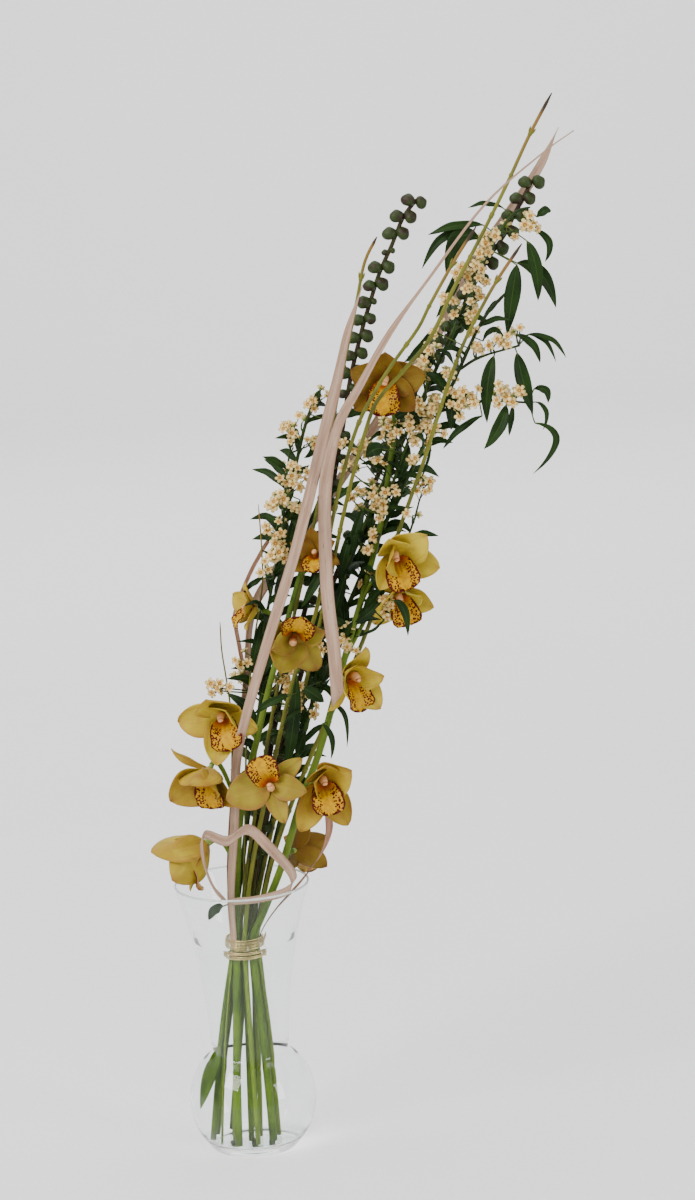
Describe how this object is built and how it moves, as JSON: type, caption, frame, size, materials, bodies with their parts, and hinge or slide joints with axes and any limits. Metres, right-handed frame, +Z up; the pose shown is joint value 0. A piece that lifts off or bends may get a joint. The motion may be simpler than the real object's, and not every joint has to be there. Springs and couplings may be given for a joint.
{
  "type": "cymbidium orchid bouquet in a glass vase",
  "caption": "Leaning bouquet of yellow cymbidium orchid stems with small-flowered sprays, pods, twigs and dried strips, tied with wire and standing in a clear glass vase of water.",
  "frame": {"origin": "middle of the vase's round foot, on the surface that it stands on", "axes": "+Z up, +X to the right of the front view, -Y towards the viewer of the front view"},
  "size_m": [0.4459, 0.1669, 1.0524],
  "materials": {
    "clear_glass": "clear, polished",
    "water": "clear water",
    "gold_wire": "dull gold florist's wire",
    "tepal_yellow": "waxy yellow petals with bronze edges and a spotted lip",
    "stem_green": "smooth pale green flower stems",
    "leaf_dark": "dark green leaves with small cream flowers",
    "pod_dark": "green and maroon seed pods",
    "twig_green": "olive green twigs with brown buds",
    "dried_strip": "matt dried plant strip, pinkish beige"
  },
  "bodies": {
    "root": {"glass_vase": "clear_glass", "water": "water", "tie_wire": "gold_wire", "bloom_top": "tepal_yellow", "bloom_right": "tepal_yellow", "bloom_right_low": "tepal_yellow", "bloom_front": "tepal_yellow", "bloom_side": "tepal_yellow", "bloom_left": "tepal_yellow", "bloom_left_low": "tepal_yellow", "bloom_upturned": "tepal_yellow", "bloom_right_foot": "tepal_yellow", "bloom_left_foot": "tepal_yellow", "bloom_behind": "tepal_yellow", "bloom_left_back": "tepal_yellow", "bloom_hidden": "tepal_yellow", "cymbidium_left": "stem_green", "cymbidium_right": "stem_green", "fulgens_left": "leaf_dark", "fulgens_right": "leaf_dark", "fulgens_side": "leaf_dark", "pods_left": "pod_dark", "pods_low": "pod_dark", "pods_right": "pod_dark", "twig_fork": "twig_green", "twig_left": "twig_green", "twig_right": "twig_green", "twig_tall": "twig_green", "twig_thin_back": "twig_green", "twig_thin_left": "twig_green", "strip_cut": "dried_strip", "strip_long": "dried_strip", "strip_pointed": "dried_strip", "strip_right": "dried_strip", "strip_wrap": "dried_strip"}
  },
  "joints": []
}
